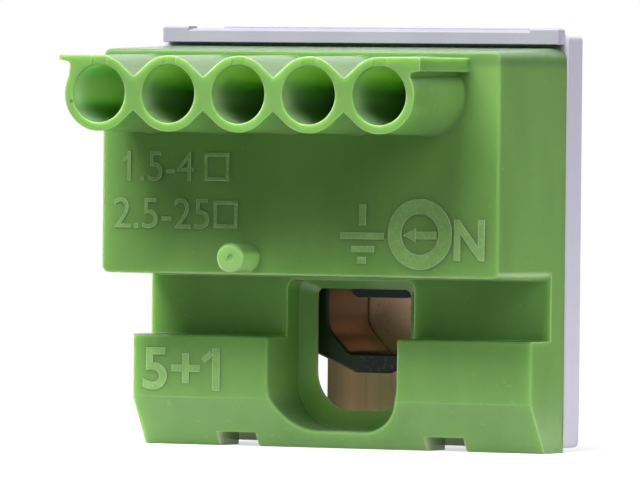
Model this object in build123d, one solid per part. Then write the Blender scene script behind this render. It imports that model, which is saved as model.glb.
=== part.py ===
from build123d import *
import os
from math import cos, radians, sin, tan

# Terminal block with five push-in wire ways and one rising-cage screw clamp.
# Millimetres. X runs along the row of wire tubes, Y from front to rear, Z up.
# Sizes are counted from the upper block's front face and from the underside.
# The finished pieces are then moved so that the origin is on the rear face.

# Body of the green moulding
end_margin = 5.08        # half the width beyond the outer wires' spread
body_depth = 11.5        # front face to the joint with the rear cover
body_draft = 1.75        # draft of the outer faces, in degrees
block_low = 13.62        # underside of the upper block at its front face
block_height = 17.45
block_corner = 0.95      # rounding of the block's long edges
neck_thickness = 2.3     # what is left between block and bar
bar_front = 5.85
bar_top = 8.7
chin_line = 3.82         # height where the bar's front turns under
chin_depth = 2.45        # how far the chin slopes back
edge_round = 0.2
edge_flat = 0.13         # cut where the edges also turn a corner
foot_round = 0.45
wall = 1.3
front_wall = 1.8
notch_spread = 9.0       # bottom channels, either side of the middle
notch_width = 3.4
notch_height = 1.1

# Wire tubes
ways = 5
way_pitch = 6.0
row_middle = -0.95       # middle of the tube row, left of the body's middle
wire_drop = 3.45         # wires below the block's top
tube_length = 8.8
tube_radius = 2.94
tube_draft = 0.8
bore_radius = 2.28
bore_chamfer = 0.3
web_angle = 50.0         # where the webs leave the tubes, from the row's level
web_sink = 0.02          # so that they cut in cleanly
rim_notch_width = 1.25
rim_notch_depth = 0.15
ear_reach = 3.42         # tip of the end ears from the tube's axis
ear_left = 0.4           # thickness of each ear at its tip
ear_right = 1.05
ear_fillet = 0.3
ear_start = 0.84         # where the ear leaves the tube, as shares of its radius
ear_inside = (0.9, 0.4)
divider = 0.8            # ribs between the contacts

# Round peg on the front face
peg_x = -4.36
peg_rise = 1.35          # above the block's underside
peg_radius = 1.13
peg_length = 3.2
peg_round = 0.15
peg_dimple = 0.3         # radius of the gate mark in its end

# Mouth of the screw clamp
clamp_x = 0.1
mouth_half = 5.6         # U-shaped recess at the bar's front
mouth_draft = 1.5
mouth_low = 1.35
mouth_drop = 0.5         # its ceiling below the block's underside
mouth_corner = 3.7
mouth_top_corner = 0.8
mouth_round = 0.2        # soft front edge of the mouth
bevel_length = 0.45      # from the recess in to the window
window_rim = 0.15        # window behind the joint with the rear cover
window_half = 4.05
window_rise = 1.55       # window's sill above the mouth's
window_drop = 0.7        # and its head below the mouth's ceiling
window_corner = 3.0
window_top_corner = 0.5
sleeve_wall = 0.5
sleeve_length = 0.2

# Rear cover
plate_thickness = 2.7
plate_margin = 0.15      # beyond the green body
plate_low = 0.35
plate_corner = 0.5
ridge_overhang = 1.3     # over the green body
ridge_gap = 0.62         # above it
ridge_height = 1.25
ridge_step = 0.45        # down to the plate's own top
ridge_side = 0.12        # beyond the body's front half width
ridge_root = 0.3         # depth behind the plate's front
ridge_round = 0.3
ridge_recess_end = 2.35  # full height that is left at each end
ridge_recess = 0.32
ridge_lip = 0.5          # thin wall behind the recess
ridge_lip_gap = 2.6
tower_half = 9.0
tower_depth = 9.1        # from the plate's rear face to the mounting face
tower_low = 8.43
tower_wall = 1.2
driver_radius = 2.6      # screwdriver guide
guide_wall = 1.1
tab_width = 5.0
tab_length = 4.0
tab_thickness = 1.0
tab_fit = 0.1

# Busbar
bar_thickness = 1.3
seat_drop = 2.72         # underside of the contact strip below the wires
strip_inset = 1.2        # behind the front wall
strip_end = 0.5          # ahead of the joint
strip_margin = 2.6       # beyond the end wires
leg_gap = 0.3            # either side, to the tower's walls
leg_low = 2.5
tongue_low = 11.7
tongue_inset = 0.6       # behind the rear cover's plate
tongue_half = 2.7
tongue_slot = 5.4        # hole that the tongue leaves in the leg
tongue_round = 0.78
bend = 0.5               # inner radius of the bends

# Spring clips
clip_side_gap = 0.5      # to the ribs between the contacts
clip_thickness = 0.4
clip_gap = 0.05          # below the chamber's ceiling
clip_inset = 1.4         # behind the front wall
clip_end = 1.1           # ahead of the joint
clip_reach = 5.0         # depth of the leaf
clip_hook = 1.6
clip_bend = 0.45
tip_gap = 0.1            # leaf tip above the contact strip

# Rising cage and its screw
cage_wall = 1.5          # below the wire
cage_side = 2.5          # its thick sides
cage_half = 4.0          # inner half width
cage_overlap = 0.9       # cage's front ahead of the plate's rear face
cage_floor = 7.3         # inner floor at rest, partly raised
cage_slope = 2.0         # the inner floor rises to the sides over this width
cage_bend = 0.8          # where its floor turns up
cage_turn = 2.4          # and where that slope meets its sides
outer_slope = 5.0        # and the underside over this one
outer_rise = 2.1
cage_top_thickness = 2.2
cage_lower = 4.4         # travel down to fully open
cage_raise = 3.4         # travel up to fully closed
cage_gap = 0.2           # to the busbar's leg and to the guide ribs
stop_gap = 0.3           # left above and below the tongue
cage_edge = 0.3
screw_radius = 2.9
thread_gap = 0.05
screw_point = 2.2
point_length = 0.8
head_radius = 3.3
head_height = 2.4
head_gap = 0.3
recess_width = 1.1
recess_reach = 2.4
recess_depth = 1.5

# Values that follow from the sizes above
slope = tan(radians(body_draft))
way_x = [row_middle + way_pitch * (n - (ways - 1) / 2) for n in range(ways)]
half_width = way_pitch * (ways - 1) / 2 + end_margin
rear_half = half_width + body_depth * slope
block_top = block_low + block_height
neck_front = body_depth - neck_thickness
wire_height = block_top - wire_drop
ceiling = block_top - wall
strip_seat = wire_height - seat_drop
strip_top = strip_seat + bar_thickness
strip_rear = body_depth - strip_end
peg_height = block_low + peg_rise
window_depth = body_depth + window_rim
sleeve_end = window_depth + sleeve_length
bevel_start = window_depth - bevel_length
mouth_top = block_low - mouth_drop
mouth_shrink = (bevel_start - bar_front) * tan(radians(mouth_draft))
ridge_low = block_top + ridge_gap
ridge_top = ridge_low + ridge_height
plate_top = ridge_top - ridge_step
plate_rear = body_depth + plate_thickness
rear_face = plate_rear + tower_depth
leg_rear = rear_face - tower_wall
leg_front = leg_rear - bar_thickness
leg_half = tower_half - tower_wall - leg_gap
cage_front = plate_rear - cage_overlap
cage_rear = leg_front - cage_gap
cage_outer = cage_half + cage_side
clamp_y = (cage_front + cage_rear) / 2
tongue_top = tongue_low + bar_thickness
cage_ceiling = tongue_top + stop_gap + cage_lower
cage_lowest = cage_floor - cage_wall - cage_lower - stop_gap
opening_low = min(cage_lowest, mouth_low + mouth_shrink - sleeve_wall - tab_fit)
ridge_half = half_width + ridge_side
ridge_front = body_depth - ridge_overhang
tab_start = mouth_half + 2 * wall + tab_fit
head_low = cage_ceiling + cage_top_thickness + cage_raise + cage_gap
head_top = head_low + head_height
guide_low = max(head_top, strip_top) + head_gap
clip_width = way_pitch - divider - 2 * clip_side_gap
mount_height = (tower_low + block_top) / 2
frame = Location((0, -rear_face, -mount_height))


def facing_front(depth):
    """Sketch plane at a depth, seen from the front, whose extrusions come forward."""
    return Plane(origin=(0, depth, 0), x_dir=(1, 0, 0), z_dir=(0, -1, 0))


def block_between(x, y, z):
    """Box from pairs of lowest and highest values."""
    size = [high - low for low, high in (x, y, z)]
    middle = [(high + low) / 2 for low, high in (x, y, z)]
    return Pos(*middle) * Box(*size)


def rounded_slot(half, low, top, low_corner, top_corner):
    """U-shaped outline about the clamp's middle, with its own lower and upper corners."""
    face = Pos(clamp_x, (low + top) / 2) * Rectangle(2 * half, top - low)
    corners = face.vertices().sort_by(Axis.Y)
    face = fillet(corners[:2], low_corner)
    return fillet(face.vertices().sort_by(Axis.Y)[-2:], top_corner)


def drafted_rectangle(front, low, top, corner):
    """Mass of the body that narrows from the joint to its own front face."""
    spread = (body_depth - front) * slope
    height = top - low + 2 * spread
    section = RectangleRounded(2 * rear_half, height, corner)
    section = facing_front(body_depth) * Pos(0, (low + top) / 2) * section
    return extrude(section, body_depth - front, taper=body_draft)


def upper_block():
    block = drafted_rectangle(0, block_low, block_top, block_corner)
    return chamfer(block.faces().sort_by(Axis.Y)[0].edges(), edge_flat)


def lower_bar():
    """Bar with a chin that slopes back to the underside from a plain line."""
    chin_foot = bar_front + chin_depth
    outline = Polyline(
        (body_depth, 0), (chin_foot, 0), (bar_front, chin_line), (bar_front, bar_top),
        (body_depth, bar_top), close=True,
    )
    profile = make_face(Plane.YZ * outline)
    bar = extrude(profile, rear_half, both=True)
    flank = Polyline(
        (-rear_half, body_depth), (rear_half, body_depth),
        (half_width + bar_front * slope, bar_front),
        (-half_width - bar_front * slope, bar_front), close=True,
    )
    bar &= extrude(make_face(flank), block_low)
    front = bar.faces().sort_by(Axis.Y)[0]
    bar = fillet(front.edges().sort_by(Axis.Z)[1:], edge_round)
    foot = bar.edges().filter_by(Axis.X).filter_by_position(Axis.Z, -0.01, 0.01)
    return fillet(foot.sort_by(Axis.Y)[0], foot_round)


def neck():
    reach = (body_depth - neck_front) * slope
    return drafted_rectangle(neck_front, bar_top - wall, block_low + wall + reach, edge_round)


def wire_tube(x):
    """One drafted tube, rooted in the front wall."""
    base = tube_radius + tube_length * tan(radians(tube_draft))
    ring = facing_front(edge_round) * Pos(x, wire_height) * Circle(base)
    return extrude(ring, tube_length + edge_round, taper=tube_draft)


def tube_web(x):
    """Web between two tubes, whose faces leave both at a tangent and meet in a groove."""
    angle = radians(web_angle)
    radius = tube_radius - web_sink
    reach = way_pitch / 2
    groove = (radius - reach * cos(angle)) / sin(angle)
    across, up = reach - radius * cos(angle), radius * sin(angle)
    outline = Polyline(
        (-reach, 0), (-across, up), (0, groove), (across, up), (reach, 0), (across, -up),
        (0, -groove), (-across, -up), close=True,
    )
    return extrude(facing_front(0) * Pos(x, wire_height) * make_face(outline), tube_length)


def end_ear(x, side, thickness):
    """Thin flag on the outer side of an end tube, flush with its top."""
    top = tube_radius
    start = side * ear_start * tube_radius
    root = tube_radius - max(thickness, ear_fillet) - ear_fillet / 2
    outline = Polyline(
        (0, 0), (0, top), (side * ear_reach, top), (side * ear_reach, top - thickness),
        (start, root), (side * ear_inside[0] * tube_radius, ear_inside[1] * tube_radius),
        close=True,
    )
    face = make_face(outline)
    corner = face.vertices().sort_by_distance((start, root, 0))[0]
    face = fillet(corner, ear_fillet)
    return extrude(facing_front(0) * Pos(x, wire_height) * face, tube_length)


def tube_row():
    row = [wire_tube(x) for x in way_x]
    row += [tube_web(x + way_pitch / 2) for x in way_x[:-1]]
    row.append(end_ear(way_x[0], -1, ear_left))
    row.append(end_ear(way_x[-1], 1, ear_right))
    return row


def wire_passage(x):
    """Chamfered bore of one way, through to its contact, and the shallow notch in its rim."""
    bore_length = tube_length + front_wall
    bore = extrude(facing_front(front_wall) * Pos(x, wire_height) * Circle(bore_radius), bore_length)
    mouth = bore.faces().sort_by(Axis.Y)[0]
    lead_in = extrude(mouth, bore_chamfer, dir=(0, 1, 0), taper=45)
    return bore + lead_in


def rim_notch(x):
    return block_between(
        (x - rim_notch_width / 2, x + rim_notch_width / 2),
        (-tube_length, -tube_length + rim_notch_depth), (wire_height, block_top),
    )


def mouth_outline(margin=0.0):
    """The recess where its bevel starts, with an optional wall around it."""
    return rounded_slot(
        mouth_half - mouth_shrink + margin, mouth_low + mouth_shrink - margin, mouth_top + margin,
        mouth_corner - mouth_shrink + margin, mouth_top_corner,
    )


def clamp_mouth():
    """Straight recess, bevel and window that lead the thick wire to the cage."""
    recess = extrude(
        facing_front(bevel_start) * mouth_outline(), bevel_start - bar_front + wall,
        taper=-mouth_draft,
    )
    above = block_between((-rear_half, rear_half), (0, bevel_start), (mouth_top, block_top))
    window = rounded_slot(
        window_half, mouth_low + window_rise, mouth_top - window_drop, window_corner,
        window_top_corner,
    )
    bevel = loft([facing_front(bevel_start) * mouth_outline(), facing_front(window_depth) * window])
    opening = extrude(facing_front(sleeve_end) * window, sleeve_length)
    return (recess - above) + bevel + opening


def clamp_sleeve():
    """Frame of the window, which reaches through the rear cover's opening."""
    outline = facing_front(sleeve_end) * mouth_outline(sleeve_wall)
    return extrude(outline, sleeve_end - neck_front - edge_round)


def inner_pockets():
    """Contact chamber above the shelf, and the hollows that keep the walls even."""
    inside = half_width - wall
    depth = (front_wall, body_depth)
    chamber = block_between((-inside, inside), depth, (strip_seat, ceiling))
    dividers = [
        block_between(
            (x + (way_pitch - divider) / 2, x + (way_pitch + divider) / 2),
            (0, strip_rear), (strip_top + tab_fit, block_top),
        )
        for x in way_x[:-1]
    ]
    chamber -= dividers
    low = (block_low + wall, strip_seat - wall)
    middle = mouth_half + wall
    pockets = [chamber, block_between((-middle, middle), depth, low)]
    for side in (-1, 1):
        across = sorted((side * (middle + wall), side * inside))
        pockets.append(block_between(across, depth, low))
        bar_pocket = (notch_height + wall, bar_top - wall)
        chin_end = (bar_front + chin_depth, body_depth)
        pockets.append(block_between(across, chin_end, bar_pocket))
    return pockets


def bottom_notches():
    return [
        block_between(
            (x - notch_width / 2, x + notch_width / 2), (0, body_depth), (-wall, notch_height)
        )
        for x in (-notch_spread, notch_spread)
    ]


def front_peg():
    peg = extrude(facing_front(edge_round) * Circle(peg_radius), peg_length + edge_round)
    end = facing_front(peg_round - peg_length)
    dimple = extrude(end * Circle(peg_dimple), peg_round)
    peg = chamfer(peg.faces().sort_by(Axis.Y)[0].edges(), peg_round)
    return Pos(peg_x, 0, peg_height) * (peg - dimple)


def soften_mouth(body):
    """Rounds the edge where the mouth opens through the bar's front and chin."""
    reach = mouth_half + wall
    rim = body.edges().filter_by_position(Axis.X, clamp_x - reach, clamp_x + reach)
    rim = rim.filter_by_position(Axis.Y, bar_front - edge_round, bar_front + chin_depth)
    rim = rim.filter_by_position(Axis.Z, mouth_low / 2, bar_top - edge_round / 2)
    return fillet(rim, mouth_round)


def make_housing():
    body = upper_block() + neck() + lower_bar() + clamp_sleeve()
    body = soften_mouth(body - clamp_mouth())
    body += tube_row()
    body -= [wire_passage(x) + rim_notch(x) for x in way_x]
    body -= inner_pockets()
    body -= bottom_notches()
    return body + front_peg()


def cover_plate():
    """Flat back of the block, with the ridge that overhangs the green body."""
    plate = RectangleRounded(
        2 * (rear_half + plate_margin), plate_top - plate_low, plate_corner
    )
    plate = extrude(
        facing_front(plate_rear) * Pos(0, (plate_top + plate_low) / 2) * plate, plate_thickness
    )
    plate = chamfer(plate.faces().sort_by(Axis.Y)[-1].edges(), edge_flat)
    return plate + cover_ridge()


def cover_ridge():
    """Long bead over the green body, with a sloping recess and a thin lip behind it."""
    rear = body_depth + ridge_root
    ridge = block_between((-ridge_half, ridge_half), (ridge_front, rear), (ridge_low, ridge_top))
    ridge = fillet(ridge.edges().filter_by(Axis.Z), ridge_round)
    ridge = chamfer(ridge.faces().sort_by(Axis.Z)[-1].edges(), edge_flat)
    end = ridge_half - ridge_recess_end
    above = ridge_top + wall
    slanted = Polyline(
        (ridge_front, ridge_top - ridge_recess), (rear - ridge_lip, ridge_top - ridge_recess / 2),
        (rear - ridge_lip, above), (ridge_front, above), close=True,
    )
    recess = extrude(make_face(Plane.YZ * slanted), end, both=True)
    lip_gap = block_between(
        (-end, ridge_lip_gap - end), (rear - ridge_lip, rear), (ridge_top - ridge_recess / 2, above)
    )
    return ridge - recess - lip_gap


def tower():
    """Hollow rear box round the screw and cage, open below, with guide ribs for the cage."""
    inner = tower_half - tower_wall
    depth = (plate_rear, rear_face)
    shell = block_between((-tower_half, tower_half), depth, (tower_low, block_top))
    shell = fillet(shell.edges().filter_by(Axis.Z).sort_by(Axis.Y)[-2:], plate_corner)
    hollow = block_between(
        (-inner, inner), (body_depth, leg_rear), (-wall, block_top - tower_wall)
    )
    guide = extrude(
        Pos(clamp_x, clamp_y, guide_low) * Circle(driver_radius + guide_wall),
        block_top - guide_low,
    )
    bore = extrude(Pos(clamp_x, clamp_y, guide_low) * Circle(driver_radius), block_top)
    ribs = []
    for side in (-1, 1):
        face = clamp_x + side * (cage_outer + cage_gap)
        across = sorted((face, side * (inner + tower_wall / 2)))
        for middle in (cage_front + 2 * tower_wall, cage_rear - tower_wall):
            along = (middle - tower_wall / 2, middle + tower_wall / 2)
            ribs.append(block_between(across, along, (tower_low, strip_seat - tower_wall)))
    return (shell - hollow) + guide + ribs - bore


def cover_opening():
    """Way through the plate for the sleeve, the cage and the busbar."""
    inner = tower_half - tower_wall
    return block_between(
        (-inner, inner), (body_depth, plate_rear), (opening_low, ceiling - wall)
    )


def locating_tabs():
    """Four tongues that enter the hollows of the green body."""
    tabs = []
    along = (body_depth - tab_length, body_depth + edge_round)
    lower = block_low + wall + tab_fit
    upper = strip_seat - wall - tab_fit - tab_thickness
    for side in (-1, 1):
        across = sorted((side * tab_start, side * (tab_start + tab_width)))
        for z in (lower, upper):
            tabs.append(block_between(across, along, (z, z + tab_thickness)))
    return tabs


def make_rear_cover():
    return cover_plate() - cover_opening() + tower() + locating_tabs()


def make_busbar():
    """Contact strip, leg with the wire stop, and the tongue bent out of the leg."""
    t = bar_thickness
    side_view = FilletPolyline(
        (strip_rear, strip_seat + t / 2), (leg_rear - t / 2, strip_seat + t / 2),
        (leg_rear - t / 2, leg_low), radius=bend + t / 2,
    )
    bent = extrude(Plane.YZ * trace(side_view, t), leg_half, both=True)
    strip = block_between(
        (way_x[0] - strip_margin, way_x[-1] + strip_margin), (front_wall + strip_inset, strip_rear),
        (strip_seat, strip_top),
    )
    hole_half = tongue_half + bend
    slot = block_between(
        (clamp_x - hole_half, clamp_x + hole_half), (leg_front, leg_rear),
        (tongue_top, tongue_top + tongue_slot),
    )
    screw_hole = extrude(
        Pos(clamp_x, clamp_y, strip_seat) * Circle(head_radius + head_gap), bar_thickness
    )
    tongue = block_between(
        (clamp_x - tongue_half, clamp_x + tongue_half), (plate_rear + tongue_inset, leg_front + t / 2),
        (tongue_low, tongue_top),
    )
    lower_sides = tongue.edges().filter_by(Axis.Y).sort_by(Axis.Z)[:2]
    tongue = fillet(lower_sides, tongue_round)
    return bent + strip - slot - screw_hole + tongue


def make_clip(x):
    """Leaf spring that lies under the ceiling and bars the wire from coming back."""
    t = clip_thickness
    high = ceiling - clip_gap - t / 2
    front = front_wall + clip_inset
    rear = body_depth - clip_end
    shape = FilletPolyline(
        (rear, high - clip_hook), (rear, high), (front, high),
        (front + clip_reach, strip_top + tip_gap + t / 2), radius=[clip_bend, clip_bend],
    )
    return Pos(x, 0, 0) * extrude(Plane.YZ * trace(shape, t), clip_width / 2, both=True)


def cage_outline(half, low, top, across, rise):
    """Outline about the clamp's middle whose lower corners are cut off at a slope."""
    points = [
        (-half, top), (-half, low + rise), (across - half, low), (half - across, low),
        (half, low + rise), (half, top),
    ]
    face = make_face(Polyline(*points, close=True))
    face = fillet(face.vertices().sort_by(Axis.Y)[2:4], cage_turn)
    return Pos(clamp_x, 0) * fillet(face.vertices().sort_by(Axis.Y)[:2], cage_bend)


def make_cage():
    """Ring cut from a drawn profile, with a trough for a floor and a thick threaded top."""
    outer = cage_outline(
        cage_outer, cage_floor - cage_wall, cage_ceiling + cage_top_thickness, outer_slope,
        outer_rise,
    )
    inner = cage_outline(cage_half, cage_floor, cage_ceiling, cage_slope, cage_slope)
    ring = extrude(facing_front(cage_rear) * (outer - inner), cage_rear - cage_front)
    thread = extrude(
        Pos(clamp_x, clamp_y, cage_ceiling) * Circle(screw_radius + thread_gap),
        cage_top_thickness,
    )
    ring = chamfer(ring.faces().sort_by(Axis.Y)[0].edges(), cage_edge / 2)
    return ring - thread


def make_screw():
    """Captive screw that stands on the tongue and turns under the driver guide."""
    profile = Polyline(
        (0, tongue_top), (screw_point, tongue_top), (screw_point, tongue_top + point_length),
        (screw_radius, tongue_top + 2 * point_length), (screw_radius, head_low),
        (head_radius, head_low), (head_radius, head_top), (0, head_top), close=True,
    )
    screw = revolve(make_face(Plane.XZ * profile), Axis.Z)
    recess = Rectangle(2 * recess_reach, recess_width) + Rectangle(recess_width, 2 * recess_reach)
    recess = extrude(Pos(0, 0, head_top - recess_depth) * recess, recess_depth)
    return Pos(clamp_x, clamp_y, 0) * (screw - recess)


def save(name, piece):
    export_step(frame * piece, f"parts/{name}.step")


os.makedirs("parts", exist_ok=True)
save("housing", make_housing())
save("rear_cover", make_rear_cover())
save("busbar", make_busbar())
save("clamp_cage", make_cage())
save("clamp_screw", make_screw())
for number, x in enumerate(way_x, 1):
    save(f"spring_clip_{number}", make_clip(x))
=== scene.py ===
import math

import bpy
from mathutils import Matrix, Vector


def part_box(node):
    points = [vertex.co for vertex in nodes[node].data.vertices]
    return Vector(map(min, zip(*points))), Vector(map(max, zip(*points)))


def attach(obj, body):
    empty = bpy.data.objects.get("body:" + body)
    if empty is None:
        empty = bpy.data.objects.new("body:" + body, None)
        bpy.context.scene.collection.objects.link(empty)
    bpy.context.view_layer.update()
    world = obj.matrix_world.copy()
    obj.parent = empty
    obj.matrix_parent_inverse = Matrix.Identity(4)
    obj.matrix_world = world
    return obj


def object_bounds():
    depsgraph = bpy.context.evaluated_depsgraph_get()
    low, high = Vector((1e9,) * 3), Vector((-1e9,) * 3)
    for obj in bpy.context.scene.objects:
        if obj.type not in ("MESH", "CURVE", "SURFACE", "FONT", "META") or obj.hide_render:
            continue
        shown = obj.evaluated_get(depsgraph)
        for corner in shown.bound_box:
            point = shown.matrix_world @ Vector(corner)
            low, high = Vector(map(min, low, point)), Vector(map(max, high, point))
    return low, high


# Looks of the terminal block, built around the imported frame, in metres
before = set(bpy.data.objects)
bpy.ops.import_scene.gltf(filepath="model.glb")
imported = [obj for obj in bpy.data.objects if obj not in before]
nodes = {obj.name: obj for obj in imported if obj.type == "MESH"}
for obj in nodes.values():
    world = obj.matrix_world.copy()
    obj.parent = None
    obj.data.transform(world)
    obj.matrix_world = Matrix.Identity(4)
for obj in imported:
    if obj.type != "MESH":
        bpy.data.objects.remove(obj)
cad_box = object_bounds()
MM = 0.001


def mm(*values):
    """Lengths given in millimetres, in metres."""
    return tuple(value * MM for value in values)


# Camera of the photograph: long lens, from the right and almost level
CAMERA_AZIMUTH = math.radians(26.05)
CAMERA_ELEVATION = math.radians(0.9)
CAMERA_ROLL = math.radians(0.56)
CAMERA_DISTANCE = 0.757
CAMERA_TARGET = Vector((1.88, -23.3, -3.34)) * MM
CAMERA_LENS = 551.2
SENSOR_WIDTH = 36.0
CLIP_START = 0.01
CLIP_END = 20

# Soft lamps: azimuth and elevation in degrees, distance, side of the square, radiance
LAMPS = {
    "key_box": (-19, 60, 0.45, 0.32, 10.4),
    "left_box": (-88, 14, 0.45, 0.30, 2.6),
    "right_box": (68, 36, 0.50, 0.36, 3.0),
}

# Surroundings
WORLD_LIGHT = 0.04
BACKDROP = (0.7, 0.95)              # share of a direction where the white backdrop begins
BACKDROP_LEFT = 0.6                 # it stands behind, overhead and more to the left
BACKDROP_UP = 0.7
FLOOR_DULL = (0.80, 0.80, 0.80)
FLOOR_PALE = (0.84, 0.84, 0.84)
FLOOR_GLOW = 0.6                    # for the camera and in gloss, so that the floor looks white
FLOOR_NEAR = (0.80, 0.80, 0.80)     # light that the floor throws back on to the object
FLOOR_FAR = (0.25, 0.25, 0.25)
FLOOR_LIT = mm(4, 13)               # from near to far, ahead of the floor's middle
FLOOR_SOLID = 40 * MM               # it is whole this far from the object's middle
FLOOR_END = 110 * MM

# Places that the marks share with the solids
BLOCK_FACE = -23.3 * MM             # front face of the upper block
BAR_FACE = -17.45 * MM              # front face of the lower bar
MARK_HEIGHT = 0.06 * MM             # how far a raised mark stands out
MARK_SINK = 0.03 * MM               # how deep its foot is in the face
MARK_DEPTH = MARK_HEIGHT + MARK_SINK
MARK_ROUND = 0.05 * MM
SQUARE_LINE = 0.3 * MM
FLAG_SLANT = math.radians(-40)      # upstroke of a figure one
TRIANGLE_LENGTH = 1.5               # of its radius, from a tip to the side across from it
THIN_STROKE = -0.006                # how far a letter's outline is moved out, in its own size
BOLD_STROKE = 0.016
BOLDER_STROKE = 0.026

# Tubes and peg of the green moulding, seen straight on
FIRST_TUBE = -12.95 * MM
TUBE_PITCH = 6 * MM
TUBE_HEIGHT = 7.87 * MM
PEG = (-4.36 * MM, 0, -4.78 * MM)
SPECK = (-15.29 * MM, 0, 7.2 * MM)  # brown speck on the rim of the first tube

# Where the green's colour changes, painted light and shade included: each pair is the start and
# the end of a soft step
TUBE_INSIDE = mm(2.3, 2.5)          # distance from a tube's middle
TUBE_RIM = mm(2.6, 2.9)
ROW_LEFT = mm(-15.6, -15.4)
ROW_RIGHT = mm(13.8, 14.0)
TUBE_MOUTH = mm(-32.2, -31.0)
RIM_FACE = mm(-32.0, -31.8)
THIN_WALL_END = mm(-10.6, -10.2)    # right end of the first tube
PEG_WALL = mm(1.2, 1.4)             # distance from the peg's middle
PEG_EDGE = mm(1.3, 1.6)
PEG_FOOT = mm(-23.7, -23.3)
TOP_STRIP = mm(9.8, 10.6)
TOP_STRIP_FRONT = mm(-24.0, -23.8)
CHANNEL_TOP = mm(-18.7, -18.4)
CHANNEL_SIDE = (0.5, 0.7)           # how far a wall faces sideways
CHANNELS_END = mm(14.0, 14.4)
SPECK_EDGE = mm(0.12, 0.24)
SPECK_RAGGED = 0.08 * MM
UPWARD = (0.1, 0.6)

# Where the grey cover and the clamp's metal change, painted light and shade included
COVER_FLANK = mm(16.9, 17.4)
COVER_FOOT = mm(-18.6, -17.6)
COVER_FRONT = (-0.7, -0.5)
LEG_TOP = mm(-11.6, -10.6)
LEG_SHADED = mm(-7.2, -5.2)
LEG_BEND = mm(-4.05, -3.95)
LEG_REAR = (-0.1, 0.1)
TONGUE_FRONT = mm(-8.3, -7.9)
TONGUE_TOP = mm(-6.2, -5.6)
SHEARED_DEPTH = 0.3 * MM
TORN_RIGHT = mm(-2.5, 0.5)

# Captive screw
SCREW_X = 0.1 * MM
SCREW_Y = -6.35 * MM
THREAD_START = 1.6 * MM             # above the screw's foot
THREAD_PITCH = 1.0 * MM
THREAD_ROOT = 2.55 * MM
THREAD_CREST = 2.88 * MM
THREAD_TURNS = 10

# Noise patterns: how fine per metre, detail, stretch along X, Y and Z, roughness
EVEN = (1, 1, 1)
PATTERNS = {
    "moulding_flow": (140, 3, (1, 1, 0.45), 0.5),
    "moulding_grain": (5200, 2, EVEN, 0.5),
    "moulding_specks": (1500, 1, EVEN, 0.5),
    "mark_flow": (900, 3, EVEN, 0.5),
    "cover_cloud": (110, 3, EVEN, 0.5),
    "cover_grain": (4200, 2, EVEN, 0.5),
    "copper_tarnish": (260, 4, EVEN, 0.6),
    "brass_tarnish": (300, 4, EVEN, 0.6),
    "drawn_lines": (2600, 3, (1, 1, 0.06), 0.5),
    "pits": (3400, 2, EVEN, 0.5),
    "leg_streaks": (1800, 2, (1, 1, 0.03), 0.5),
    "torn_metal": (2100, 4, EVEN, 0.7),
    "zinc_patches": (420, 3, EVEN, 0.5),
    "spring_patches": (500, 3, EVEN, 0.5),
    "brushing": (3200, 2, (0.1, 1, 1), 0.5),
    "floor_cloud": (30, 2, EVEN, 0.5),
}
CLOUDS = (0.3, 0.7)                 # soft step in a noise that makes wide clouds of it
SPARSE = (0.70, 0.76)               # step that leaves only its few highest spots
EDGE_SAMPLES = 6
SOFT_EDGE = 0.12 * MM               # rounding that the light sees on moulded edges

# Colours, linear
GREEN_DEEP = (0.235, 0.455, 0.125)
GREEN_FRESH = (0.285, 0.53, 0.155)
# pale specks, and painted highlights on edges
GREEN_SPECK_AND_HIGHLIGHT = (0.52, 0.76, 0.38)
GREEN_BORE_PAINTED_LIGHT = (0.56, 0.74, 0.44)
GREEN_THIN_PAINTED_LIGHT = (0.61, 0.95, 0.55)     # painted light: the first tube's thin outer wall lets light in
GREEN_PEG = (0.44, 0.74, 0.26)
GREEN_TOP_PAINTED_SHADE = (0.16, 0.28, 0.12)
GREEN_CHANNEL_PAINTED_LIGHT = (0.80, 1.0, 0.62)   # painted light on the thin walls of the bottom channels
MARK_GREEN = (0.285, 0.535, 0.16)
MARK_PALE = (0.335, 0.60, 0.20)
MARK_RIM_HIGHLIGHT = (0.88, 1.0, 0.74)
GREY_BODY = (0.43, 0.41, 0.50)
GREY_PALE = (0.47, 0.45, 0.54)
GREY_SIDE_PAINTED_LIGHT = (0.82, 0.79, 0.94)
GREY_FOOT_PAINTED_LIGHT = (1.0, 0.93, 0.86)        # painted light on the cover's foot, which closes the bottom channels
GREY_EDGE_HIGHLIGHT = (0.80, 0.80, 0.84)
COPPER = (0.98, 0.67, 0.47)
COPPER_DARK = (0.30, 0.18, 0.11)
BRASS = (0.20, 0.175, 0.12)
BRASS_DARK = (0.10, 0.075, 0.05)
# leg colours: painted shade darkest at the left, lighter to the right, and its back
LEG_SHADE = (0.42, 0.35, 0.16)
LEG_RED = (0.96, 0.68, 0.32)
LEG_YELLOW = (1.0, 0.80, 0.42)
LEG_BACK = (0.78, 0.56, 0.34)
# sheared fronts: painted shade, with a painted green reflection on one
SHEARED_SHADE_GREEN_REFLECTION = (0.02, 0.04, 0.018)
SHEARED_SHADE_BLUE = (0.018, 0.022, 0.028)
SHEARED_PALE = (0.10, 0.10, 0.11)
SPECK_BROWN = (0.16, 0.09, 0.04)
ZINC = (0.55, 0.56, 0.57)
SPRING = (0.60, 0.59, 0.56)
DULL = 0.6                          # how dark a plated colour is where it has gone dull


def softbox(name, azimuth, elevation, distance, size, radiance):
    """Square area light that faces the object and gives off the stated radiance."""
    a, e = math.radians(azimuth), math.radians(elevation)
    back = Vector((math.sin(a) * math.cos(e), -math.cos(a) * math.cos(e), math.sin(e)))
    data = bpy.data.lights.new(name, "AREA")
    data.shape = "SQUARE"
    data.size = size
    data.energy = radiance * math.pi * size * size
    light = bpy.data.objects.new(name, data)
    light.location = CAMERA_TARGET + back * distance
    light.rotation_euler = back.to_track_quat("Z", "Y").to_euler()
    bpy.context.scene.collection.objects.link(light)


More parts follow.
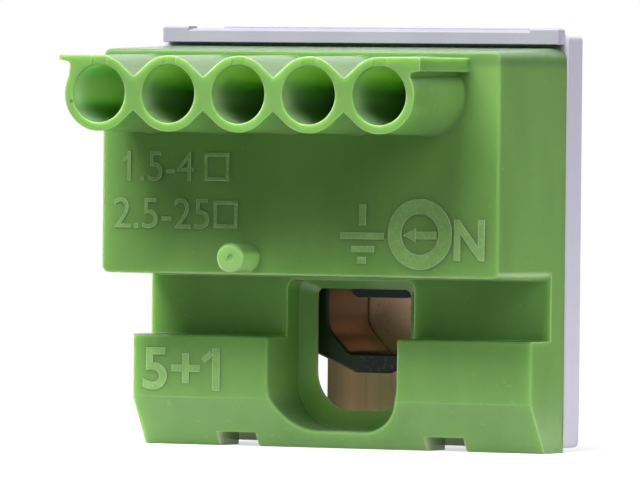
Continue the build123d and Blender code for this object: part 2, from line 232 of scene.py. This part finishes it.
def photo_camera():
    """The camera's axes come from its azimuth, elevation and roll."""
    a, e, r = CAMERA_AZIMUTH, CAMERA_ELEVATION, CAMERA_ROLL
    right = Vector((math.cos(a), math.sin(a), 0))
    up = Vector((-math.sin(a) * math.sin(e), math.cos(a) * math.sin(e), math.cos(e)))
    back = right.cross(up)
    across = right * math.cos(r) + up * math.sin(r)
    rise = up * math.cos(r) - right * math.sin(r)
    data = bpy.data.cameras.new("photo_camera")
    data.lens = CAMERA_LENS
    data.sensor_width = SENSOR_WIDTH
    data.sensor_fit = "HORIZONTAL"
    data.clip_start = CLIP_START
    data.clip_end = CLIP_END
    camera = bpy.data.objects.new("photo_camera", data)
    turn = Matrix((across, rise, back)).transposed().to_4x4()
    camera.matrix_world = Matrix.Translation(CAMERA_TARGET + back * CAMERA_DISTANCE) @ turn
    bpy.context.scene.collection.objects.link(camera)
    bpy.context.scene.camera = camera


class Value:
    """A socket's output, on which sums and products add Math nodes."""

    def __init__(self, sheet, socket):
        self.sheet = sheet
        self.socket = socket

    def math(self, operation, *others):
        return self.sheet.node("Math", {"operation": operation}, dict(enumerate((self,) + others)))

    def __add__(self, other):
        return self.math("ADD", other)

    def __sub__(self, other):
        return self.math("SUBTRACT", other)

    def __rsub__(self, other):
        return self.sheet.node("Math", {"operation": "SUBTRACT"}, {0: other, 1: self})

    def __mul__(self, other):
        return self.math("MULTIPLY", other)

    __radd__ = __add__
    __rmul__ = __mul__

    def above(self, low, high):
        """0 below low, 1 above high, and a soft step between them."""
        settings = {"interpolation_type": "SMOOTHSTEP"}
        return self.sheet.node(
            "MapRange", settings, {"Value": self, "From Min": low, "From Max": high}
        )


class Sheet:
    """The node sheet of one material or of the world."""

    def __init__(self, owner):
        owner.use_nodes = True
        self.tree = owner.node_tree
        self.tree.nodes.clear()

    def node(self, kind, settings=None, sockets=None, output=0):
        """Adds a node, gives it its settings, and its sockets their values or links."""
        node = self.tree.nodes.new("ShaderNode" + kind)
        for name, value in (settings or {}).items():
            setattr(node, name, value)
        for name, value in (sockets or {}).items():
            if isinstance(value, Value):
                self.tree.links.new(value.socket, node.inputs[name])
            else:
                node.inputs[name].default_value = value
        return Value(self, node.outputs[output])

    def place(self, stretch):
        """Object coordinates, stretched where a pattern runs along an axis."""
        spot = self.node("TexCoord", output="Object")
        return self.node("Mapping", None, {"Vector": spot, "Scale": stretch})

    def pattern(self, name):
        """Noise from the table of patterns, from 0 to 1."""
        per_metre, detail, stretch, rough = PATTERNS[name]
        sockets = {
            "Vector": self.place(stretch), "Scale": per_metre, "Detail": detail,
            "Roughness": rough,
        }
        return self.node("TexNoise", None, sockets)

    def part(self, vector, name):
        """The X, Y or Z of a vector."""
        return self.node("SeparateXYZ", None, {"Vector": vector}, output=name)

    def axis(self, name):
        """The object's own X, Y or Z, in metres."""
        return self.part(self.node("TexCoord", output="Object"), name)

    def facing(self, name):
        """How far the surface faces along X, Y or Z, from -1 to 1."""
        return self.part(self.node("NewGeometry", output="Normal"), name)

    def distance(self, place, spot):
        sockets = {0: place, 1: spot}
        return self.node("VectorMath", {"operation": "DISTANCE"}, sockets, output="Value")

    def rounded(self, radius):
        """The normal that the surface has once its edges are rounded."""
        return self.node("Bevel", {"samples": EDGE_SAMPLES}, {"Radius": radius})

    def edges(self, radius, low, high):
        """1 on edges and corners sharper than the radius, 0 on flat faces."""
        sockets = {0: self.rounded(radius), 1: self.node("NewGeometry", output="Normal")}
        facing = self.node("VectorMath", {"operation": "DOT_PRODUCT"}, sockets, output="Value")
        return (1 - facing).above(low, high)

    def mix(self, share, first, second):
        """Colour that goes from the first to the second with the share."""
        first = first if isinstance(first, Value) else (*first, 1)
        second = second if isinstance(second, Value) else (*second, 1)
        return self.node("Mix", {"data_type": "RGBA"}, {0: share, 6: first, 7: second}, output=2)

    def paint(self, under, mask, colour, share=1.0):
        """Lays a colour over the one under it where the mask is 1, as thick as the share."""
        return self.mix(mask * share, under, colour)

    def bump(self, height, distance, strength, normal=None):
        sockets = {"Height": height, "Distance": distance, "Strength": strength}
        if normal:
            sockets["Normal"] = normal
        return self.node("Bump", None, sockets)

    def finish(self, **sockets):
        """Principled surface; a name's underscores stand for spaces."""
        named = {name.replace("_", " "): value for name, value in sockets.items()}
        self.show(self.node("BsdfPrincipled", None, named))

    def show(self, surface, output="Material"):
        out = self.tree.nodes.new("ShaderNodeOutput" + output)
        self.tree.links.new(surface.socket, out.inputs["Surface"])


def new_sheet(name):
    material = bpy.data.materials.new(name)
    return material, Sheet(material)


def mark_plastic():
    """The same nylon where it stands out in thin strokes: opaque and a little paler, with a
    painted highlight along the strokes' edges.
    """
    material, sheet = new_sheet("green_marks")
    flow = sheet.pattern("mark_flow")
    grain = sheet.pattern("moulding_grain")
    colour = sheet.mix(flow.above(low=0.35, high=0.65), MARK_GREEN, MARK_PALE)
    # painted highlight along the strokes' edges
    edge = sheet.edges(radius=0.09 * MM, low=0.01, high=0.2)
    colour = sheet.paint(colour, edge, MARK_RIM_HIGHLIGHT, share=0.9)
    sheet.finish(
        Base_Color=colour,
        Roughness=0.22 + grain * 0.1,
        Normal=sheet.bump(grain, distance=0.004 * MM, strength=0.3),
        Specular_IOR_Level=0.4,
    )
    return material


def tube_paint(sheet, colour):
    """Painted light inside the tubes, most in the first tube, and each place's distance from a
    tube.
    """
    across, along, height = (sheet.axis(name) for name in "XYZ")
    in_way = (across - (FIRST_TUBE - TUBE_PITCH / 2)).math("FLOORED_MODULO", TUBE_PITCH)
    aside = in_way - TUBE_PITCH / 2
    from_tube = (aside.math("POWER", 2) + (height - TUBE_HEIGHT).math("POWER", 2)).math("SQRT")
    in_row = across.above(*ROW_LEFT) * (1 - across.above(*ROW_RIGHT))
    inside = (1 - from_tube.above(*TUBE_INSIDE)) * in_row * along.above(*TUBE_MOUTH)
    # painted light in the bores
    colour = sheet.paint(colour, inside, GREEN_BORE_PAINTED_LIGHT, share=0.8)
    thin_wall = 1 - across.above(*THIN_WALL_END)
    # painted light inside the first tube, through its thin wall
    return sheet.paint(colour, inside * thin_wall, GREEN_THIN_PAINTED_LIGHT), from_tube


def shade_paint(sheet, colour):
    """Painted shade on upward faces and the top strip, and painted light on the walls of the
    bottom channels.
    """
    across, along, height = (sheet.axis(name) for name in "XYZ")
    # painted shade on upward faces
    colour = sheet.paint(colour, sheet.facing("Z").above(*UPWARD), GREEN_TOP_PAINTED_SHADE, share=0.8)
    # painted shade on the block's top strip
    top_strip = height.above(*TOP_STRIP) * along.above(*TOP_STRIP_FRONT)
    colour = sheet.paint(colour, top_strip, GREEN_TOP_PAINTED_SHADE, share=0.6)
    # painted light on the side walls of the bottom channels
    channel = 1 - height.above(*CHANNEL_TOP)
    channel = channel * sheet.facing("X").math("ABSOLUTE").above(*CHANNEL_SIDE)
    channel = channel * (1 - across.math("ABSOLUTE").above(*CHANNELS_END))
    return sheet.paint(colour, channel, GREEN_CHANNEL_PAINTED_LIGHT)


def green_plastic():
    """Glossy nylon that lets a little light through, with painted highlights on its edges and
    painted light and shade in places.
    """
    material, sheet = new_sheet("green_nylon")
    flow = sheet.pattern("moulding_flow")
    grain = sheet.pattern("moulding_grain")
    specks = sheet.pattern("moulding_specks").above(*SPARSE)
    colour = sheet.mix(flow.above(*CLOUDS), GREEN_DEEP, GREEN_FRESH)
    colour = sheet.paint(colour, specks, GREEN_SPECK_AND_HIGHLIGHT, share=0.12)
    colour, from_tube = tube_paint(sheet, colour)
    along = sheet.axis("Y")
    straight_on = sheet.place((1, 0, 1))
    from_peg = sheet.distance(straight_on, PEG)
    peg = (1 - from_peg.above(*PEG_WALL)) * (1 - along.above(*PEG_FOOT))
    colour = sheet.paint(colour, peg, GREEN_PEG, share=0.85)
    plain = from_tube.above(*TUBE_RIM) * from_peg.above(*PEG_EDGE)
    # painted highlight on edges, weaker on the tube rims and the peg
    edge = sheet.edges(radius=0.26 * MM, low=0.02, high=0.3) * (plain * 0.5 + 0.1)
    colour = sheet.paint(colour, edge, GREEN_SPECK_AND_HIGHLIGHT)
    colour = shade_paint(sheet, colour)
    from_speck = sheet.distance(straight_on, SPECK)
    speck = 1 - (from_speck + grain * SPECK_RAGGED).above(*SPECK_EDGE)
    speck = speck * (1 - along.above(*RIM_FACE))
    colour = sheet.paint(colour, speck, SPECK_BROWN, share=0.75)
    rounded = sheet.rounded(SOFT_EDGE)
    sheet.finish(
        Base_Color=colour,
        Roughness=0.15 + flow * 0.08 + grain * 0.05,
        Normal=sheet.bump(grain, distance=0.004 * MM, strength=0.3, normal=rounded),
        Subsurface_Weight=1.0,
        Subsurface_Radius=(0.85, 1.0, 0.6),
        Subsurface_Scale=1.9 * MM,
        Specular_IOR_Level=0.4,
        IOR=1.5,
    )
    return material


def grey_plastic():
    """Satin moulding with a faint lilac cast, with painted light at its sides and its foot and
    painted highlights on its edges.
    """
    material, sheet = new_sheet("grey_satin")
    cloud = sheet.pattern("cover_cloud")
    grain = sheet.pattern("cover_grain")
    colour = sheet.mix(cloud.above(*CLOUDS), GREY_BODY, GREY_PALE)
    # painted light on the cover's sides
    flank = sheet.axis("X").math("ABSOLUTE").above(*COVER_FLANK)
    colour = sheet.paint(colour, flank, GREY_SIDE_PAINTED_LIGHT)
    # painted light on the front of the cover's foot
    ahead = 1 - sheet.facing("Y").above(*COVER_FRONT)
    low = 1 - sheet.axis("Z").above(*COVER_FOOT)
    colour = sheet.paint(colour, ahead * low, GREY_FOOT_PAINTED_LIGHT)
    # painted highlight on edges
    edge = sheet.edges(radius=0.2 * MM, low=0.03, high=0.4)
    colour = sheet.paint(colour, edge, GREY_EDGE_HIGHLIGHT, share=0.4)
    rounded = sheet.rounded(SOFT_EDGE)
    sheet.finish(
        Base_Color=colour,
        Roughness=0.42 + cloud * 0.12,
        Normal=sheet.bump(grain, distance=0.006 * MM, strength=0.4, normal=rounded),
        Specular_IOR_Level=0.35,
    )
    return material


def rolled_sheet(name, clean, dark, tarnish):
    """What the two copper finishes share: drawn lines, tarnish in clouds and small pits."""
    material, sheet = new_sheet(name)
    tarnish = sheet.pattern(tarnish)
    drawn = sheet.pattern("drawn_lines")
    pits = sheet.pattern("pits").above(*SPARSE)
    colour = sheet.paint(clean, tarnish.above(low=0.5, high=0.8), dark, share=0.6)
    colour = sheet.paint(colour, pits, dark, share=0.7)
    rough = 0.24 + tarnish * 0.14 + drawn * 0.10
    return material, sheet, colour, rough, drawn + pits * 0.6


def busbar_metal():
    """Pinkish copper above; below the cage the leg's front is streaked and painted with shade,
    darkest at the left and yellower past a bend line, and its back has its own colour; the
    tongue's sheared front is painted dark with shade.
    """
    material, sheet, colour, rough, relief = rolled_sheet(
        "rolled_copper", COPPER, COPPER_DARK, "copper_tarnish"
    )
    across = sheet.axis("X")
    low = 1 - sheet.axis("Z").above(*LEG_TOP)
    # painted shade across the leg's front: darkest at the left, lighter past the bend line
    leg = sheet.mix(across.above(*LEG_SHADED), LEG_SHADE, LEG_RED)
    leg = sheet.paint(leg, across.above(*LEG_BEND), LEG_YELLOW)
    streaks = sheet.pattern("leg_streaks").above(low=0.45, high=0.7)
    leg = sheet.paint(leg, streaks, LEG_SHADE, share=0.1)
    behind = sheet.facing("Y").above(*LEG_REAR)
    leg = sheet.paint(leg, behind, LEG_BACK)
    colour = sheet.paint(colour, low, leg)
    # painted shade: the tongue's sheared front is painted near black
    tongue = 1 - sheet.axis("Y").above(*TONGUE_FRONT)
    tongue = tongue * (1 - sheet.axis("Z").above(*TONGUE_TOP))
    colour = sheet.paint(colour, tongue, SHEARED_SHADE_BLUE)
    sheet.finish(
        Base_Color=colour,
        Metallic=1 - tongue * 0.8 - low * (1 - behind) * 0.25,
        Roughness=rough + tongue * 0.2,
        Normal=sheet.bump(relief, distance=0.01 * MM, strength=0.5),
    )
    return material


def cage_metal():
    """Brown drawn profile whose sheared front is torn towards the right and painted dark with
    shade, with a painted reflection of the green housing at its left.
    """
    material, sheet, colour, rough, relief = rolled_sheet(
        "cage_strap", BRASS, BRASS_DARK, "brass_tarnish"
    )
    torn = sheet.pattern("torn_metal")
    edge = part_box("clamp_cage")[0].y + SHEARED_DEPTH
    ragged = sheet.axis("Y") + torn * SHEARED_DEPTH
    front = 1 - ragged.above(edge, edge + SHEARED_DEPTH)
    right = sheet.axis("X").above(*TORN_RIGHT)
    # painted shade on the sheared front, with a painted green reflection at the left
    shaded_torn_front = sheet.mix(right, SHEARED_SHADE_GREEN_REFLECTION, SHEARED_SHADE_BLUE)
    burrs = torn.above(low=0.5, high=0.62) * right
    shaded_torn_front = sheet.paint(shaded_torn_front, burrs, SHEARED_PALE, share=0.5)
    sheet.finish(
        Base_Color=sheet.paint(colour, front, shaded_torn_front),
        Metallic=1 - front * 0.8,
        Roughness=rough + front * right * 0.2,
        Normal=sheet.bump(relief + front * torn * right, distance=0.01 * MM, strength=0.5),
    )
    return material


def plated_steel(name, tint, patches):
    """Zinc or stainless finish with fine brushing and dull patches."""
    material, sheet = new_sheet(name)
    patches = sheet.pattern(patches)
    brushed = sheet.pattern("brushing")
    dull = tuple(part * DULL for part in tint)
    colour = sheet.mix(patches.above(low=0.4, high=0.75), tint, dull)
    sheet.finish(
        Base_Color=colour,
        Metallic=1.0,
        Roughness=0.24 + patches * 0.18,
        Normal=sheet.bump(brushed, distance=0.006 * MM, strength=0.4),
    )
    return material


def dress(material, *names):
    """Gives CAD nodes a finish through their meshes' material slots."""
    for name in names:
        node = nodes[name]
        node.data.materials.clear()
        node.data.materials.append(material)


def deselect():
    bpy.ops.object.select_all(action="DESELECT")


def finish_piece(piece, name, material, body):
    """Applies the piece's place to its mesh, dresses it and lets it ride on its body."""
    deselect()
    piece.select_set(True)
    bpy.context.view_layer.objects.active = piece
    bpy.ops.object.transform_apply(location=True, rotation=True, scale=True)
    piece.name = name
    piece.data.name = name
    piece.data.materials.clear()
    piece.data.materials.append(material)
    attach(piece, body)
    return piece


def mark_middle(face):
    """Y of a mark's middle, where its foot is sunk in the face."""
    return face - (MARK_HEIGHT - MARK_SINK) / 2


def raised_number(name, text, place, face, material, weight=THIN_STROKE):
    """Raised digits or a letter, fitted to a place given by left, low, width and height."""
    left, low, width, height = place
    deselect()
    bpy.ops.object.text_add(location=(0, 0, 0))
    letters = bpy.context.object
    letters.data.body = text
    letters.data.extrude = 0.5
    letters.data.offset = weight
    letters.data.resolution_u = 6
    bpy.ops.object.convert(target="MESH")
    piece = bpy.context.object
    corners = [Vector(corner) for corner in piece.bound_box]
    low_corner = Vector(map(min, zip(*corners)))
    high_corner = Vector(map(max, zip(*corners)))
    wide, tall, deep = high_corner - low_corner
    fit = Matrix.Diagonal((width / wide, height / tall, MARK_DEPTH / deep, 1))
    centre = Matrix.Translation(-(low_corner + high_corner) / 2)
    middle = Vector((left + width / 2, mark_middle(face), low + height / 2))
    stand = Matrix.Rotation(math.radians(90), 4, "X")
    piece.matrix_world = Matrix.Translation(middle) @ stand @ fit @ centre
    return finish_piece(piece, name, material, "block")


def soften(piece):
    """Sets the piece's place in its mesh and takes the sharpness off its edges."""
    bpy.ops.object.transform_apply(location=True, rotation=True, scale=True)
    softened = piece.modifiers.new("soft_edges", "BEVEL")
    softened.width = MARK_ROUND
    softened.segments = 2
    bpy.ops.object.modifier_apply(modifier=softened.name)
    return piece


def raised_bars(name, bars, face, material, others=()):
    """Raised bars, each given by left, low, right and top, joined to other softened pieces."""
    made = list(others)
    for left, low, right, top in bars:
        deselect()
        middle = ((left + right) / 2, mark_middle(face), (low + top) / 2)
        bpy.ops.mesh.primitive_cube_add(size=1, location=middle)
        bar = bpy.context.object
        bar.scale = (right - left, MARK_DEPTH, top - low)
        made.append(soften(bar))
    deselect()
    for bar in made:
        bar.select_set(True)
    bpy.context.view_layer.objects.active = made[0]
    if len(made) > 1:
        bpy.ops.object.join()
    return finish_piece(bpy.context.object, name, material, "block")


def square_outline(name, place, face, material):
    """Square sign, given by its left, low, right and top."""
    left, low, right, top = place
    line = SQUARE_LINE
    bars = [
        (left, low, right, low + line),
        (left, top - line, right, top),
        (left, low + line, left + line, top - line),
        (right - line, low + line, right, top - line),
    ]
    return raised_bars(name, bars, face, material)


def raised_ring(name, x, z, outer, inner, face, material):
    """Flat ring: a disc whose two faces are inset, and the insets bridged to open its hole."""
    deselect()
    bpy.ops.mesh.primitive_cylinder_add(
        vertices=72, radius=outer, depth=MARK_DEPTH, location=(x, mark_middle(face), z),
        rotation=(math.radians(90), 0, 0),
    )
    ring = bpy.context.object
    bpy.ops.object.mode_set(mode="EDIT")
    bpy.ops.mesh.select_mode(type="FACE")
    bpy.ops.mesh.select_all(action="DESELECT")
    bpy.ops.object.mode_set(mode="OBJECT")
    for side in ring.data.polygons:
        side.select = abs(side.normal.z) > 0.9
    bpy.ops.object.mode_set(mode="EDIT")
    bpy.ops.mesh.inset(thickness=outer - inner, depth=0)
    bpy.ops.mesh.bridge_edge_loops()
    bpy.ops.object.mode_set(mode="OBJECT")
    return finish_piece(ring, name, material, "block")


def raised_arrow(name, along, height, thick, face, material):
    """Arrow that points left: its tip, the foot of its head and its tail are given in X."""
    tip, foot, tail = along
    deselect()
    reach = (foot - tip) / TRIANGLE_LENGTH
    bpy.ops.mesh.primitive_cylinder_add(vertices=3, radius=reach, depth=MARK_DEPTH)
    head = bpy.context.object
    place = Matrix.Translation((tip + reach, mark_middle(face), height))
    stand = Matrix.Rotation(math.radians(90), 4, "X")
    turn = Matrix.Rotation(math.radians(90), 4, "Z")
    head.matrix_world = place @ stand @ turn @ Matrix.Diagonal((0.9, 1, 1, 1))
    shaft = [(foot - 0.05 * MM, height - thick / 2, tail, height + thick / 2)]
    return raised_bars(name, shaft, face, material, [soften(head)])


def raised_flag(name, x, z, length, thick, face, material):
    """Slanted upstroke that ends in the head of a figure one, at x and z.

    It is a little thinner than the figure, so that their front faces don't share a plane.
    """
    deselect()
    middle = (x - length * 0.35, mark_middle(face), z - length * 0.3)
    bpy.ops.mesh.primitive_cube_add(size=1, location=middle, rotation=(0, FLAG_SLANT, 0))
    flag = bpy.context.object
    flag.scale = (length, MARK_DEPTH * 0.98, thick)
    return finish_piece(soften(flag), name, material, "block")


def marks(material):
    """Generic raised marks: wire sizes, count of ways, earth, ring with an arrow, neutral."""
    block, bar = BLOCK_FACE, BAR_FACE
    raised_number("mark_row_upper", "1.5-4", mm(-14.85, 1.05, 5.77, 2.3), block, material)
    square_outline("mark_square_upper", mm(-8.15, 1.11, -5.99, 3.31), block, material)
    raised_number("mark_row_lower", "2.5-25", mm(-16.0, -2.64, 8.3, 2.35), block, material)
    square_outline("mark_square_lower", mm(-7.32, -2.55, -5.25, -0.41), block, material)
    raised_number("mark_bar", "5+1", mm(-16.3, -15.4, 6.7, 3.3), bar, material, BOLD_STROKE)
    raised_flag("mark_flag_upper", *mm(-14.66, 3.08, 0.8, 0.26), block, material)
    raised_flag("mark_flag_bar", *mm(-10.35, -12.45, 1.0, 0.5), bar, material)
    earth = [
        mm(5.23, -2.16, 5.81, -0.49),
        mm(3.6, -3.23, 7.38, -2.71),
        mm(4.56, -4.22, 6.53, -3.73),
        mm(5.09, -5.14, 5.85, -4.59),
    ]
    raised_bars("mark_earth", earth, block, material)
    raised_ring("mark_ring", *mm(10.43, -2.78, 2.73, 1.58), block, material)
    neutral = mm(13.34, -4.76, 2.59, 3.15)
    raised_number("mark_neutral", "N", neutral, block, material, BOLDER_STROKE)
    raised_arrow("mark_arrow", mm(9.0, 10.1, 11.85), *mm(-2.85, 0.6), block, material)


def screw_thread(material):
    """Thread on the captive screw's shank: one profile wound up with the Screw modifier."""
    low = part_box("clamp_screw")[0].z + THREAD_START
    deselect()
    bpy.ops.mesh.primitive_circle_add(
        vertices=4, radius=THREAD_PITCH * 0.3, location=(0, 0, 0), fill_type="NOTHING"
    )
    thread = bpy.context.object
    profile = [
        (THREAD_ROOT, -0.45), (THREAD_CREST, -0.06), (THREAD_CREST, 0.06), (THREAD_ROOT, 0.45),
    ]
    for vertex, (radius, rise) in zip(thread.data.vertices, profile):
        vertex.co = (radius, 0, rise * THREAD_PITCH)
    wind = thread.modifiers.new("wind", "SCREW")
    wind.axis = "Z"
    wind.screw_offset = THREAD_PITCH
    wind.iterations = THREAD_TURNS
    wind.steps = wind.render_steps = 32
    bpy.ops.object.modifier_apply(modifier=wind.name)
    thread.location = (SCREW_X, SCREW_Y, low)
    return finish_piece(thread, "screw_thread", material, "screw")


def seen_by_eye(sheet):
    """1 for camera, glossy and transmission rays, 0 for the rest."""
    camera = sheet.node("LightPath", output="Is Camera Ray")
    glossy = sheet.node("LightPath", output="Is Glossy Ray")
    through = sheet.node("LightPath", output="Is Transmission Ray")
    return (camera + glossy + through).math("MINIMUM", 1.0)


def pale_floor():
    """Small pale floor that keeps the object's shadow and fades into the white backdrop."""
    deselect()
    middle = (0, (cad_box[0][1] + cad_box[1][1]) / 2, cad_box[0][2])
    bpy.ops.mesh.primitive_circle_add(
        vertices=64, radius=FLOOR_END, fill_type="NGON", location=middle
    )
    floor = bpy.context.object
    floor.name = "floor"
    material, sheet = new_sheet("pale_floor")
    shade = sheet.mix(sheet.pattern("floor_cloud").above(*CLOUDS), FLOOR_DULL, FLOOR_PALE)
    matte = sheet.node("BsdfDiffuse", None, {"Color": shade})
    glow = sheet.node("Emission", None, {"Color": (1, 1, 1, 1), "Strength": FLOOR_GLOW})
    white = sheet.node("AddShader", None, {0: matte, 1: glow})
    ahead = 0 - sheet.axis("Y")
    thrown = sheet.mix(ahead.above(*FLOOR_LIT), FLOOR_NEAR, FLOOR_FAR)
    thrown = sheet.node("BsdfDiffuse", None, {"Color": thrown})
    surface = sheet.node("MixShader", None, {0: seen_by_eye(sheet), 1: thrown, 2: white})
    spot = sheet.node("TexCoord", output="Object")
    away = sheet.node("VectorMath", {"operation": "LENGTH"}, {0: spot}, output="Value")
    fade = away.above(FLOOR_SOLID, FLOOR_END)
    open_air = sheet.node("BsdfTransparent")
    sheet.show(sheet.node("MixShader", None, {0: fade, 1: surface, 2: open_air}))
    floor.data.materials.append(material)


def studio_sky():
    """Dim world that the camera sees as white, and gloss as a white backdrop on one side."""
    world = bpy.data.worlds.new("studio")
    bpy.context.scene.world = world
    sheet = Sheet(world)
    way = sheet.node("TexCoord", output="Generated")
    across, along, upward = (sheet.part(way, name) for name in "XYZ")
    behind = (along - across * BACKDROP_LEFT + upward * BACKDROP_UP).above(*BACKDROP)
    camera = sheet.node("LightPath", output="Is Camera Ray")
    shown = camera.math("MAXIMUM", seen_by_eye(sheet) * behind)
    dim = sheet.node("Background", None, {"Color": (1, 1, 1, 1), "Strength": WORLD_LIGHT})
    white = sheet.node("Background", None, {"Color": (1, 1, 1, 1), "Strength": 1.0})
    sheet.show(sheet.node("MixShader", None, {0: shown, 1: dim, 2: white}), output="World")


bpy.context.scene.view_settings.view_transform = "Standard"
photo_camera()
pale_floor()
studio_sky()
for lamp, values in LAMPS.items():
    softbox(lamp, *values)

zinc = plated_steel("zinc_plated", ZINC, "zinc_patches")
spring = plated_steel("spring_leaf", SPRING, "spring_patches")
dress(green_plastic(), "housing")
dress(grey_plastic(), "rear_cover")
dress(busbar_metal(), "busbar")
dress(cage_metal(), "clamp_cage")
dress(zinc, "clamp_screw")
dress(spring, *[f"spring_clip_{n}" for n in range(1, 6)])
marks(mark_plastic())
screw_thread(zinc)
